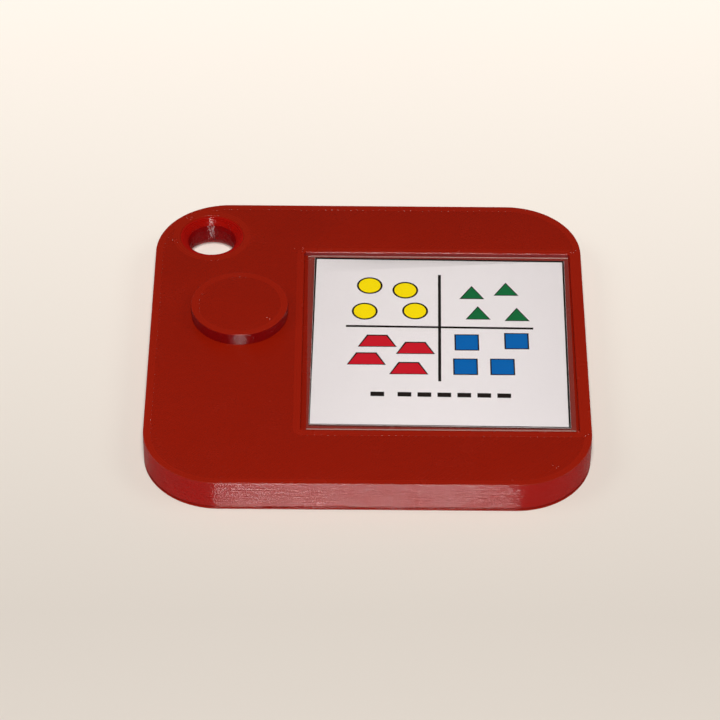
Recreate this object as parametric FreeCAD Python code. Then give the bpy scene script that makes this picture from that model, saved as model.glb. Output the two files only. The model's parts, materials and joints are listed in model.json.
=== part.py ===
import FreeCAD, Part
import math
import os

# A printed picture badge: a flat plate with rounded corners, a rounded hanging
# hole, a raised round button to feel with a finger, and a shallow square recess
# that holds a picture card sealed between two clear films. Two strips of
# double-sided tape hold the sealed card down in the recess.
#
# Millimetres. The origin is the centre of the plate's underside. +X runs from
# the button side to the picture side, +Y from the picture's foot to its head,
# and +Z leaves the face with the picture on it.

# Picture card, as cut from its sheet
CARD_WIDTH = 50.8
CARD_HEIGHT = 50.6
CARD_THICKNESS = 0.25
CARD_TURN = -0.6            # degrees that the card lies askew in its films

# The two films that seal the card
FILM_THICKNESS = 0.125
SEAL_MARGIN_X = 0.9         # film left beside the card, where film meets film
SEAL_MARGIN_Y = 0.85
TRIM_FLARE = 0.2            # the films are hand cut, this much wider at the head
POCKET_CLEARANCE = 0.05     # round the card, inside the front film

# Recess for the sealed card
RECESS_DEPTH = 1.0
RECESS_CLEARANCE_X = 0.7    # from each cut edge of the films to the recess wall
RECESS_CLEARANCE_Y = 0.8
RECESS_CORNER_RADIUS = 0.5
SHIFT_X = 0.25              # the sealed card was laid down this far off centre
SHIFT_Y = 0.12

# Tape under the sealed card
TAPE_WIDTH = 12.0
TAPE_THICKNESS = 0.25
TAPE_END_MARGIN = 4.0       # from the films' head and foot to the tape's ends
TAPE_SIDE_MARGIN = 5.0      # from the films' sides to the tape

# Plate
PLATE_THICKNESS = 6.8
PLATE_CORNER_RADIUS = 15.0
RIM_RIGHT = 2.4             # plate left beside the recess
RIM_FRONT = 15.2
RIM_BACK = 15.1

# Raised button
BUTTON_DIAMETER = 19.4
BUTTON_HEIGHT = 2.6
BUTTON_FROM_LEFT = 8.0      # from the plate's left side to the button's
BUTTON_TO_RECESS = 3.0      # from the button's right side to the recess
BUTTON_FROM_BACK = 34.5     # from the plate's back to the button's centre
BUTTON_EDGE_RADIUS = 0.15

# Hanging hole
HOLE_DIAMETER = 9.2         # at its narrowest, the short straight land
HOLE_LAND = 1.6             # length of that land
HOLE_FROM_LEFT = 11.3       # from the plate's left side to the hole's centre
HOLE_FROM_BACK = 10.1

# Sizes that follow
FILM_WIDTH = CARD_WIDTH + 2 * SEAL_MARGIN_X
FILM_HEIGHT = CARD_HEIGHT + 2 * SEAL_MARGIN_Y
RECESS_WIDTH = FILM_WIDTH + 2 * RECESS_CLEARANCE_X
RECESS_HEIGHT = FILM_HEIGHT + 2 * RECESS_CLEARANCE_Y
PLATE_WIDTH = BUTTON_FROM_LEFT + BUTTON_DIAMETER + BUTTON_TO_RECESS + RECESS_WIDTH + RIM_RIGHT
PLATE_DEPTH = RIM_FRONT + RECESS_HEIGHT + RIM_BACK
PLATE_LEFT = -PLATE_WIDTH / 2
PLATE_RIGHT = PLATE_WIDTH / 2
PLATE_FRONT = -PLATE_DEPTH / 2
PLATE_BACK = PLATE_DEPTH / 2
RECESS_X = PLATE_RIGHT - RIM_RIGHT - RECESS_WIDTH / 2
RECESS_Y = PLATE_FRONT + RIM_FRONT + RECESS_HEIGHT / 2
RECESS_FLOOR = PLATE_THICKNESS - RECESS_DEPTH
BUTTON_X = PLATE_LEFT + BUTTON_FROM_LEFT + BUTTON_DIAMETER / 2
BUTTON_Y = PLATE_BACK - BUTTON_FROM_BACK
HOLE_X = PLATE_LEFT + HOLE_FROM_LEFT
HOLE_Y = PLATE_BACK - HOLE_FROM_BACK
HOLE_ROUNDING = (PLATE_THICKNESS - HOLE_LAND) / 2
CARD_X = RECESS_X + SHIFT_X
CARD_Y = RECESS_Y + SHIFT_Y
BACK_FILM_BASE = RECESS_FLOOR + TAPE_THICKNESS
CARD_BASE = BACK_FILM_BASE + FILM_THICKNESS


def rounded_block(x, y, z, width, depth, height, radius):
    """A block centred on x and y, standing on z, with rounded upright corners."""
    corner = FreeCAD.Vector(x - width / 2, y - depth / 2, z)
    block = Part.makeBox(width, depth, height, corner)
    upright = []
    for edge in block.Edges:
        low = edge.BoundBox.ZMin
        high = edge.BoundBox.ZMax
        if high - low > height / 2:
            upright.append(edge)
    return block.makeFillet(radius, upright)


def turned_block(width, depth, height, z):
    """A block at the card's place, turned with the card, standing on z."""
    block = Part.makeBox(width, depth, height, FreeCAD.Vector(-width / 2, -depth / 2, z))
    block.rotate(FreeCAD.Vector(0, 0, 0), FreeCAD.Vector(0, 0, 1), CARD_TURN)
    block.translate(FreeCAD.Vector(CARD_X, CARD_Y, 0))
    return block


def film_sheet(z):
    """One film as trimmed: square to the plate, a little wider at its head."""
    half_foot = FILM_WIDTH / 2 - TRIM_FLARE
    half_head = FILM_WIDTH / 2 + TRIM_FLARE
    foot = CARD_Y - FILM_HEIGHT / 2
    head = CARD_Y + FILM_HEIGHT / 2
    outline = Part.makePolygon([
        FreeCAD.Vector(CARD_X - half_foot, foot, z),
        FreeCAD.Vector(CARD_X + half_foot, foot, z),
        FreeCAD.Vector(CARD_X + half_head, head, z),
        FreeCAD.Vector(CARD_X - half_head, head, z),
        FreeCAD.Vector(CARD_X - half_foot, foot, z),
    ])
    return Part.Face(outline).extrude(FreeCAD.Vector(0, 0, FILM_THICKNESS))


def hanging_hole():
    """The space of the hole: a straight land between two quarter-round mouths."""
    inner = HOLE_DIAMETER / 2
    outer = inner + HOLE_ROUNDING
    middle = PLATE_THICKNESS / 2
    land_low = middle - HOLE_LAND / 2
    land_high = middle + HOLE_LAND / 2
    bulge = outer - HOLE_ROUNDING * math.cos(math.radians(45))
    rise = HOLE_ROUNDING * math.sin(math.radians(45))
    axis_foot = FreeCAD.Vector(0, 0, 0)
    axis_head = FreeCAD.Vector(0, 0, PLATE_THICKNESS)
    mouth_low = FreeCAD.Vector(outer, 0, 0)
    mouth_high = FreeCAD.Vector(outer, 0, PLATE_THICKNESS)
    neck_low = FreeCAD.Vector(inner, 0, land_low)
    neck_high = FreeCAD.Vector(inner, 0, land_high)
    curve_low = Part.Arc(mouth_low, FreeCAD.Vector(bulge, 0, land_low - rise), neck_low)
    curve_high = Part.Arc(neck_high, FreeCAD.Vector(bulge, 0, land_high + rise), mouth_high)
    profile = Part.Wire([
        Part.makeLine(axis_foot, mouth_low),
        curve_low.toShape(),
        Part.makeLine(neck_low, neck_high),
        curve_high.toShape(),
        Part.makeLine(mouth_high, axis_head),
        Part.makeLine(axis_head, axis_foot),
    ])
    space = Part.Face(profile).revolve(axis_foot, FreeCAD.Vector(0, 0, 1), 360)
    space.translate(FreeCAD.Vector(HOLE_X, HOLE_Y, 0))
    return space


def base_plate():
    """The plate, with its recess and its hanging hole."""
    plate = rounded_block(
        0, 0, 0, PLATE_WIDTH, PLATE_DEPTH, PLATE_THICKNESS, PLATE_CORNER_RADIUS)
    recess = rounded_block(
        RECESS_X, RECESS_Y, RECESS_FLOOR,
        RECESS_WIDTH, RECESS_HEIGHT, 2 * RECESS_DEPTH, RECESS_CORNER_RADIUS)
    return plate.cut(recess).cut(hanging_hole())


def button_disc():
    """The raised round button, which stands on the plate's face."""
    foot = FreeCAD.Vector(BUTTON_X, BUTTON_Y, PLATE_THICKNESS)
    disc = Part.makeCylinder(BUTTON_DIAMETER / 2, BUTTON_HEIGHT, foot)
    top = PLATE_THICKNESS + BUTTON_HEIGHT
    rim = []
    for edge in disc.Edges:
        if edge.BoundBox.ZMin > top - BUTTON_EDGE_RADIUS:
            rim.append(edge)
    return disc.makeFillet(BUTTON_EDGE_RADIUS, rim)


def tape_strip(side):
    """A tape strip on the recess floor, left (-1) or right (+1) of the card's middle."""
    length = FILM_HEIGHT - 2 * TAPE_END_MARGIN
    offset = FILM_WIDTH / 2 - TAPE_SIDE_MARGIN - TAPE_WIDTH / 2
    corner = FreeCAD.Vector(
        CARD_X + side * offset - TAPE_WIDTH / 2, CARD_Y - length / 2, RECESS_FLOOR)
    return Part.makeBox(TAPE_WIDTH, length, TAPE_THICKNESS, corner)


def back_film():
    """The film under the card, lying on the tape."""
    return film_sheet(BACK_FILM_BASE)


def picture_card():
    """The printed card, between the films."""
    return turned_block(CARD_WIDTH, CARD_HEIGHT, CARD_THICKNESS, CARD_BASE)


def front_film():
    """The film over the card. Beside the card it comes down to meet the back film."""
    pocket_width = CARD_WIDTH + 2 * POCKET_CLEARANCE
    pocket_depth = CARD_HEIGHT + 2 * POCKET_CLEARANCE
    cap = turned_block(
        pocket_width + 2 * FILM_THICKNESS, pocket_depth + 2 * FILM_THICKNESS,
        CARD_THICKNESS + FILM_THICKNESS, CARD_BASE)
    pocket = turned_block(pocket_width, pocket_depth, CARD_THICKNESS, CARD_BASE)
    return film_sheet(CARD_BASE).fuse(cap).cut(pocket).removeSplitter()


PIECES = {
    "base_plate": base_plate(),
    "button_disc": button_disc(),
    "tape_strip_left": tape_strip(-1),
    "tape_strip_right": tape_strip(1),
    "laminate_back_film": back_film(),
    "picture_card": picture_card(),
    "laminate_front_film": front_film(),
}

os.makedirs("parts", exist_ok=True)
for name, shape in PIECES.items():
    shape.exportStep("parts/" + name + ".step")
    print(name, "solids", len(shape.Solids), "valid", shape.isValid(), "mm3", round(shape.Volume, 2))
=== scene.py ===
"""A tactile picture badge: a red printed plate, its raised button and a sealed picture card.

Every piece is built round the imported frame, in metres and in place. Sizes inside
the classes are in millimetres, and turn to metres where a mesh is made.
"""

import sys
import json
import logging
import math
import random
from collections.abc import Callable
from dataclasses import dataclass
from enum import Enum
from functools import partial

import bmesh
import bpy
from mathutils import Matrix, Vector
from mathutils.geometry import tessellate_polygon


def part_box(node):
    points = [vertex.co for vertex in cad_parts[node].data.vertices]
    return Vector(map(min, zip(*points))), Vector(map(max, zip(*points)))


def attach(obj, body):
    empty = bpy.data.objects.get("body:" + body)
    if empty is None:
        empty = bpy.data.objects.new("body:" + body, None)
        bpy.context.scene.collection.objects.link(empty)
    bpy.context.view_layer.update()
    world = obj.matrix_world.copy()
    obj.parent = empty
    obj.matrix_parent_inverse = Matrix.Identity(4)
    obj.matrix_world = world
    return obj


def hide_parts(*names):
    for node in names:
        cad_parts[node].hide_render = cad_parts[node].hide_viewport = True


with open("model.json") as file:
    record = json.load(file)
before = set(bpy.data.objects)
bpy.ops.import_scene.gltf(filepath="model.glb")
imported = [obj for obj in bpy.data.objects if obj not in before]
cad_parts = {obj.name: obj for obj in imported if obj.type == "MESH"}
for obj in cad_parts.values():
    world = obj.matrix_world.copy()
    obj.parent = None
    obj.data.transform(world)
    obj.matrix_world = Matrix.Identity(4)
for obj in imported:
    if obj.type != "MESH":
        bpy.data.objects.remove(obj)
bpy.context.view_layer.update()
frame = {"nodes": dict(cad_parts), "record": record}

MM = 0.001
NEAR = 0.01                     # millimetres within which two heights or places are the same
PLATE_BODY = "plate"
CARD_BODY = "sealed_card"
WHITE = (1.0, 1.0, 1.0, 1.0)
SHARP = 35.0                    # degrees that an edge turns by before it stays sharp
NODE_FAMILIES = ("ShaderNode", "GeometryNode", "FunctionNode")
LOG = logging.getLogger("badge")

Point = tuple[float, float]
Spot = tuple[float, float, float]
Loop = list[Point]
Face = tuple[int, ...]
Node = bpy.types.Node
Socket = bpy.types.NodeSocket
Adder = Callable[..., Node]


# ---------------------------------------------------------------- measures

def mm_box(node: str) -> tuple[Vector, Vector]:
    """A node's lowest and highest corners, in millimetres."""
    low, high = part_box(node)
    return low / MM, high / MM


def corners_of(node: str) -> list[Vector]:
    """Every corner of a node's mesh, in millimetres."""
    return [v.co / MM for v in frame["nodes"][node].data.vertices]


def level_box(node: str, height: float) -> tuple[Point, Point]:
    """The plan box of a node's corners that lie at one height.

    Args:
        node: the frame node to measure.
        height: the level to look at, in millimetres.

    Returns:
        The lowest and the highest (x, y) of those corners, in millimetres.
    """
    level = [p for p in corners_of(node) if abs(p.z - height) < NEAR]
    xs = [p.x for p in level]
    ys = [p.y for p in level]
    return (min(xs), min(ys)), (max(xs), max(ys))


def corner_radius(node: str) -> float:
    """The radius of a plate's upright corners, in millimetres: its half width less its flat front's."""
    low, high = mm_box(node)
    return high.x - max(p.x for p in corners_of(node) if p.y - low.y < NEAR)


# ---------------------------------------------------------------- outlines

def rounded_rectangle(centre: Point, width: float, depth: float, radius: float, steps: int) -> Loop:
    """A rounded rectangle's outline, anticlockwise.

    Args:
        centre: its middle.
        width: its size along X.
        depth: its size along Y.
        radius: of its corners.
        steps: how many chords make each corner.

    Returns:
        Its corner points, with none repeated at the end.
    """
    loop: Loop = []
    for quarter, (sx, sy) in enumerate(((1, 1), (-1, 1), (-1, -1), (1, -1))):
        cx = centre[0] + sx * (width / 2 - radius)
        cy = centre[1] + sy * (depth / 2 - radius)
        for step in range(steps + 1):
            angle = math.radians(90 * (quarter + step / steps))
            loop.append((cx + radius * math.cos(angle), cy + radius * math.sin(angle)))
    return loop


def circle(centre: Point, radius: float, steps: int) -> Loop:
    """A circle's outline, anticlockwise."""
    turns = [2 * math.pi * k / steps for k in range(steps)]
    return [(centre[0] + radius * math.cos(a), centre[1] + radius * math.sin(a)) for a in turns]


def divided(loop: Loop, longest: float) -> Loop:
    """The same closed outline with no side longer than a given length."""
    result: Loop = []
    for (ax, ay), (bx, by) in zip(loop, loop[1:] + loop[:1]):
        count = max(1, math.ceil(math.hypot(bx - ax, by - ay) / longest))
        result += [(ax + (bx - ax) * k / count, ay + (by - ay) * k / count) for k in range(count)]
    return result


def turned(loop: Loop, degrees: float, centre: Point = (0.0, 0.0)) -> Loop:
    """The points turned about a centre, anticlockwise."""
    c, s = math.cos(math.radians(degrees)), math.sin(math.radians(degrees))
    cx, cy = centre
    return [(cx + (x - cx) * c - (y - cy) * s, cy + (x - cx) * s + (y - cy) * c) for x, y in loop]


def spans_at(level: float, outer: Loop, voids: list[Loop]) -> list[Point]:
    """Where a line of constant y lies inside a convex outline and outside its convex voids.

    Args:
        level: the line's y.
        outer: the outline.
        voids: outlines to leave out.

    Returns:
        The spans, each as its lowest and highest x.
    """
    def crossing(loop: Loop) -> Point | None:
        """Where the line enters and leaves one convex outline."""
        xs = []
        for (ax, ay), (bx, by) in zip(loop, loop[1:] + loop[:1]):
            if (ay - level) * (by - level) < 0:
                xs.append(ax + (bx - ax) * (level - ay) / (by - ay))
        return (min(xs), max(xs)) if xs else None

    whole = crossing(outer)
    spans = [whole] if whole else []
    for void in voids:
        gap = crossing(void)
        if gap is None:
            continue
        kept = []
        for low, high in spans:
            kept += [(low, min(high, gap[0])), (max(low, gap[1]), high)]
        spans = [(low, high) for low, high in kept if high - low > 0]
    return spans


def zigzag(
        outer: Loop, voids: list[Loop], pitch: float, degrees: float, slack: float = 0.05,
        seed: int = 3) -> list[Loop]:
    """The to-and-fro path that a print head follows to fill an area.

    Args:
        outer: the convex outline of the area.
        voids: convex outlines that it goes round.
        pitch: distance between neighbouring lines.
        degrees: the lines' direction, from +X.
        slack: how far a turn may miss the outline, in millimetres.
        seed: picks how far each one does.

    Returns:
        Open paths. Each turns back at the outline for as long as it can.
    """
    chance = random.Random(seed)
    outer = turned(outer, -degrees)
    voids = [turned(v, -degrees) for v in voids]
    bottom = min(y for _, y in outer)
    top = max(y for _, y in outer)
    shortest = pitch
    reach = 3 * pitch
    paths: list[Loop] = []
    live: list[tuple[Loop, bool]] = []
    for row in range(int((top - bottom) / pitch)):
        level = bottom + (row + 0.5) * pitch
        carried: list[tuple[Loop, bool]] = []
        for low, high in spans_at(level, outer, voids):
            if high - low < shortest:
                continue
            found = None
            for path, at_high in live:
                if abs(path[-1][0] - (high if at_high else low)) < reach:
                    found = (path, at_high)
                    break
            if found:
                live.remove(found)
                path, at_high = found
            else:
                path, at_high = [], False
                paths.append(path)
            left = low + chance.uniform(-slack, slack)
            right = high + chance.uniform(-slack, slack)
            path.extend([(right, level), (left, level)] if at_high else [(left, level), (right, level)])
            carried.append((path, not at_high))
        live = carried
    return [turned(path, degrees) for path in paths]


# ---------------------------------------------------------------- meshes

def new_piece(
        name: str, points: list[Spot], faces: list[Face],
        edges: list[tuple[int, int]] | None = None) -> bpy.types.Object:
    """An object at the origin whose mesh holds the given points.

    Args:
        name: the piece's name.
        points: in millimetres.
        faces: tuples of point numbers.
        edges: pairs of point numbers, for a mesh of lines.

    Returns:
        The new object, in the scene.
    """
    mesh = bpy.data.meshes.new(name)
    mesh.from_pydata([(x * MM, y * MM, z * MM) for x, y, z in points], edges or [], faces)
    mesh.update()
    piece = bpy.data.objects.new(name, mesh)
    bpy.context.scene.collection.objects.link(piece)
    return piece


def tidied(piece: bpy.types.Object, sharp: float = SHARP) -> bpy.types.Object:
    """Turns every face of closed meshes outwards, and shades them smooth up to a sharp angle in degrees."""
    shape = bmesh.new()
    shape.from_mesh(piece.data)
    bmesh.ops.recalc_face_normals(shape, faces=shape.faces)
    shape.to_mesh(piece.data)
    shape.free()
    piece.data.polygons.foreach_set("use_smooth", [True] * len(piece.data.polygons))
    piece.data.set_sharp_from_angle(angle=math.radians(sharp))
    piece.data.update()
    return piece


def sheet_faces(columns: int, rows: int) -> tuple[list[Face], list[Face]]:
    """Faces of a closed sheet whose lower and upper sides are the same grid of points.

    Args:
        columns: points in a row.
        rows: rows in a grid.

    Returns:
        The faces of the two sides, and those of the cut edge all round.
    """
    layer = columns * rows
    sides = []
    for j in range(rows - 1):
        for i in range(columns - 1):
            a = j * columns + i
            b = a + columns
            sides += [(a, b, b + 1, a + 1), (layer + a, layer + a + 1, layer + b + 1, layer + b)]
    border = list(range(columns - 1)) + [j * columns + columns - 1 for j in range(rows - 1)]
    border += [(rows - 1) * columns + i for i in range(columns - 1, 0, -1)]
    border += [j * columns for j in range(rows - 1, 0, -1)]
    return sides, [(a, b, layer + b, layer + a) for a, b in zip(border, border[1:] + border[:1])]


class Shell:
    """Collects rings and flat faces into one closed mesh."""

    def __init__(self) -> None:
        """Starts with nothing."""
        self.points: list[Spot] = []
        self.faces: list[Face] = []

    def ring(self, loop: Loop, height: float) -> list[int]:
        """Adds a loop of points at one height, and returns their numbers."""
        start = len(self.points)
        self.points += [(x, y, height) for x, y in loop]
        return list(range(start, len(self.points)))

    def wall(self, rings: list[list[int]]) -> None:
        """Joins rings of the same count with quads, one after the other."""
        for lower, upper in zip(rings, rings[1:]):
            count = len(lower)
            for k in range(count):
                n = (k + 1) % count
                self.faces.append((lower[k], lower[n], upper[n], upper[k]))

    def cap(self, rings: list[list[int]]) -> None:
        """Fills a flat area between an outer ring and any inner ones."""
        numbers = [n for ring in rings for n in ring]
        shape = [[Vector(self.points[n]) for n in ring] for ring in rings]
        for triangle in tessellate_polygon(shape):
            self.faces.append(tuple(numbers[k] for k in triangle))

    def block(self, levels: list[tuple[Loop, float]]) -> None:
        """Adds a closed block, given as its outline at each height from its foot to its top."""
        rings = [self.ring(loop, height) for loop, height in levels]
        self.wall(rings)
        self.cap([rings[0]])
        self.cap([rings[-1]])

    def piece(self, name: str, *materials: bpy.types.Material, sharp: float = SHARP) -> bpy.types.Object:
        """Makes the object, with its materials."""
        piece = tidied(new_piece(name, self.points, self.faces), sharp)
        for material in materials:
            piece.data.materials.append(material)
        return piece


# ---------------------------------------------------------------- node helpers

def linear(code: str) -> tuple[float, float, float, float]:
    """Turns an sRGB hex colour, such as "#a01808", into opaque linear RGBA."""
    def channel(value: int) -> float:
        """One 0 to 255 channel to linear."""
        v = value / 255
        return v / 12.92 if v <= 0.04045 else ((v + 0.055) / 1.055) ** 2.4

    red, green, blue = (channel(int(code[k:k + 2], 16)) for k in (1, 3, 5))
    return red, green, blue, 1.0


def add_node(tree: bpy.types.NodeTree, kind: str, inputs: dict | None = None, **settings: object) -> Node:
    """Adds a node with its settings, and sets or links its inputs.

    Args:
        tree: the tree it goes in.
        kind: Blender's name for the node type, without its family's name.
        inputs: input name or number to a value, or to the socket or the node that feeds it.
        settings: the node's own properties.

    Returns:
        The new node.
    """
    family = next(f for f in NODE_FAMILIES if hasattr(bpy.types, f + kind))
    node = tree.nodes.new(family + kind)
    for key, value in settings.items():
        setattr(node, key, value)
    for key, value in (inputs or {}).items():
        source = value.outputs[0] if isinstance(value, Node) else value
        if isinstance(source, Socket):
            tree.links.new(source, node.inputs[key])
        else:
            node.inputs[key].default_value = source
    return node


class Kind(Enum):
    """What a tree's input takes."""

    NUMBER = "NodeSocketFloat"
    COUNT = "NodeSocketInt"
    MATERIAL = "NodeSocketMaterial"


class GeometryTree:
    """A geometry tree in the making, with a Geometry input and output and named inputs."""

    def __init__(self, name: str, kinds: dict[str, Kind]) -> None:
        """Makes the tree and its inputs.

        Args:
            name: the tree's name.
            kinds: what each of its named inputs takes.
        """
        self.tree = bpy.data.node_groups.new(name, "GeometryNodeTree")
        sockets = self.tree.interface
        sockets.new_socket("Geometry", in_out="INPUT", socket_type="NodeSocketGeometry")
        for label, kind in kinds.items():
            sockets.new_socket(label, in_out="INPUT", socket_type=kind.value)
        sockets.new_socket("Geometry", in_out="OUTPUT", socket_type="NodeSocketGeometry")
        self.source = self.tree.nodes.new("NodeGroupInput")
        self.result = self.tree.nodes.new("NodeGroupOutput")

    def __getitem__(self, label: str) -> Socket:
        """The socket of one of the tree's inputs."""
        return self.source.outputs[label]

    def add(self, kind: str, inputs: dict | None = None, **settings: object) -> Node:
        """Adds a node to the tree."""
        return add_node(self.tree, kind, inputs, **settings)

    def copies(self, of: Node, at: Node | None = None, scale: Node | Spot = (1.0, 1.0, 1.0)) -> Node:
        """Puts a real copy of some geometry at each point.

        Args:
            of: the geometry.
            at: the points, or nothing for those of the tree's own input.
            scale: of each copy.

        Returns:
            The node that gives the copies.
        """
        points = at or self.add("MeshToPoints", {"Mesh": self["Geometry"]})
        placed = self.add("InstanceOnPoints", {"Points": points, "Instance": of, "Scale": scale})
        return self.add("RealizeInstances", {"Geometry": placed})

    def painted(self, geometry: Node, label: str = "Material") -> Node:
        """Gives geometry the material of a named input."""
        return self.add("SetMaterial", {"Geometry": geometry, "Material": self[label]})

    def swept(self, path: Node, section: Node, caps: bool) -> Node:
        """Sweeps a cross-section along flat paths."""
        level = self.add("SetCurveNormal", {"Curve": path}, mode="Z_UP")
        return self.add("CurveToMesh", {"Curve": level, "Profile Curve": section, "Fill Caps": caps})

    def extruded(self, path: Node, section: Node) -> bpy.types.NodeTree:
        """Sweeps closed lines of plastic along flat paths as the tree's result."""
        return self.done(self.painted(self.swept(path, section, caps=True)))

    def bulge(self) -> Node:
        """The side of a line that shows in a wall: rounded, right of its direction, with a flat back."""
        reach = math.radians(80)
        side = self.add("CurveArc", {
            "Resolution": 9, "Radius": self["Line rounding"], "Start Angle": -reach,
            "Sweep Angle": 2 * reach}, mode="RADIUS")
        return self.add("SetSplineCyclic", {"Geometry": side, "Cyclic": True})

    def strand(self) -> Node:
        """The cross-section of a flattened line, rounded at its four corners."""
        box = self.add("CurvePrimitiveQuadrilateral", {
            "Width": self["Line width"], "Height": self["Line height"]})
        return self.add(
            "FilletCurve", {"Curve": box, "Radius": self["Line rounding"], "Count": 2}, mode="POLY")

    def done(self, geometry: Node) -> bpy.types.NodeTree:
        """Makes some geometry the tree's result, and returns the tree."""
        self.tree.links.new(geometry.outputs[0], self.result.inputs[0])
        return self.tree


def grown(
        piece: bpy.types.Object, tree: bpy.types.NodeTree, values: dict[str, object],
        sharp: float = SHARP) -> bpy.types.Object:
    """Runs a geometry tree on a piece and keeps the result as its plain mesh.

    Args:
        piece: the object that holds the tree's input mesh.
        tree: the geometry tree.
        values: input names to values, lengths in metres.
        sharp: edges that turn by more than this many degrees stay sharp.

    Returns:
        The same object, with no modifier left on it.
    """
    modifier = piece.modifiers.new(tree.name, "NODES")
    modifier.node_group = tree
    for item in tree.interface.items_tree:
        if item.in_out == "INPUT" and item.name in values:
            modifier[item.identifier] = values[item.name]
    shown = piece.evaluated_get(bpy.context.evaluated_depsgraph_get())
    mesh = bpy.data.meshes.new_from_object(shown)
    mesh.name = piece.name
    piece.modifiers.remove(modifier)
    piece.data = mesh
    return tidied(piece, sharp)


LINE_INPUTS = {
    "Line width": Kind.NUMBER, "Line height": Kind.NUMBER, "Line rounding": Kind.NUMBER,
    "Material": Kind.MATERIAL,
}


def layer_stack_tree() -> bpy.types.NodeTree:
    """Stacks one extruded line on another up a wall, each wandering a little on its way."""
    t = GeometryTree("layer_stack", {
        "Layers": Kind.COUNT, "Layer height": Kind.NUMBER, "Wander": Kind.NUMBER,
        "Wander length": Kind.NUMBER, "Seed": Kind.COUNT} | LINE_INPUTS)
    path = t.add("MeshToCurve", {"Mesh": t["Geometry"]})
    rise = t.add("CombineXYZ", {"Z": t["Layer height"]})
    levels = t.add("MeshLine", {"Count": t["Layers"], "Offset": rise})
    stack = t.copies(path, levels)
    place = t.add("InputPosition")
    cell = t.add("CombineXYZ", {
        "X": t["Wander length"], "Y": t["Wander length"], "Z": t["Layer height"]})
    steps = t.add("VectorMath", {0: place, 1: cell}, operation="DIVIDE")
    # Sampling off the layer grid, where the noise would be the same for every layer.
    shifted = t.add("VectorMath", {0: steps, 1: (0.97, 0.97, 0.73)}, operation="MULTIPLY")
    noise = t.add("TexNoise", {
        "Vector": shifted, "W": t["Seed"], "Scale": 1.0, "Detail": 2.0, "Roughness": 0.6},
        noise_dimensions="4D")
    centred = t.add(
        "VectorMath", {0: noise.outputs["Color"], 1: (0.5, 0.5, 0.5)}, operation="SUBTRACT")
    # The noise seldom goes past a quarter either way.
    reach = t.add("Math", {0: t["Wander"], 1: 4.0}, operation="MULTIPLY")
    flat = t.add("CombineXYZ", {"X": reach, "Y": reach})
    drift = t.add("VectorMath", {0: centred, 1: flat}, operation="MULTIPLY")
    moved = t.add("SetPosition", {"Geometry": stack, "Offset": drift})
    return t.extruded(moved, t.bulge())


def skin_tree() -> bpy.types.NodeTree:
    """Lays extruded lines along flat paths, with round turns."""
    t = GeometryTree("skin", {"Turn radius": Kind.NUMBER} | LINE_INPUTS)
    path = t.add("MeshToCurve", {"Mesh": t["Geometry"]})
    bent = t.add("FilletCurve", {
        "Curve": path, "Radius": t["Turn radius"], "Count": 2, "Limit Radius": True}, mode="POLY")
    return t.extruded(bent, t.strand())


def ring_tree() -> bpy.types.NodeTree:
    """Puts a round extruded line at each point, as wide as the point's "ring_size" says."""
    t = GeometryTree("rings", {"Chords": Kind.COUNT} | LINE_INPUTS)
    ring = t.add("CurvePrimitiveCircle", {"Resolution": t["Chords"], "Radius": 1.0})
    size = t.add("InputNamedAttribute", {"Name": "ring_size"}, data_type="FLOAT").outputs["Attribute"]
    spread = t.add("CombineXYZ", {"X": size, "Y": size, "Z": 1.0})
    return t.extruded(t.copies(ring, scale=spread), t.strand())


def blob_tree() -> bpy.types.NodeTree:
    """Puts a small flattened bead of plastic at each point, each of its own size."""
    t = GeometryTree("blobs", {
        "Blob size": Kind.NUMBER, "Flatness": Kind.NUMBER, "Seed": Kind.COUNT, "Material": Kind.MATERIAL})
    drop = t.add("MeshIcoSphere", {"Radius": t["Blob size"], "Subdivisions": 3})
    flat = t.add("CombineXYZ", {"X": 1.0, "Y": 1.0, "Z": t["Flatness"]})
    vary = t.add("RandomValue", {2: 0.6, 3: 1.1, "Seed": t["Seed"]}, data_type="FLOAT")
    size = t.add("VectorMath", {0: flat, "Scale": vary.outputs[1]}, operation="SCALE")
    return t.done(t.painted(t.copies(drop, scale=size)))


class MarkShape(Enum):
    """The plain shapes on the picture card."""

    DISC = "disc"
    TRIANGLE = "triangle"
    TRAPEZIUM = "trapezium"
    SQUARE = "square"


def unit_outline(t: GeometryTree, shape: MarkShape) -> tuple[Node, float, float]:
    """Draws a shape's outline, with its own width and height."""
    if shape is MarkShape.SQUARE:
        return t.add("CurvePrimitiveQuadrilateral", {"Width": 1.0, "Height": 1.0}), 1.0, 1.0
    if shape is MarkShape.TRAPEZIUM:
        sides = {"Height": 1.0, "Bottom Width": 1.0, "Top Width": 0.52, "Offset": 0.0}
        return t.add("CurvePrimitiveQuadrilateral", sides, mode="TRAPEZOID"), 1.0, 1.0
    if shape is MarkShape.DISC:
        return t.add("CurvePrimitiveCircle", {"Resolution": 64, "Radius": 1.0}), 2.0, 2.0
    # A triangle in a circle of radius 1 is the root of 3 wide and 1.5 high, and points along +X.
    sideways = t.add("CurvePrimitiveCircle", {"Resolution": 3, "Radius": 1.0})
    upright = t.add("Transform", {"Geometry": sideways, "Rotation": (0.0, 0.0, math.radians(90))})
    return upright, math.sqrt(3), 1.5


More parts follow.
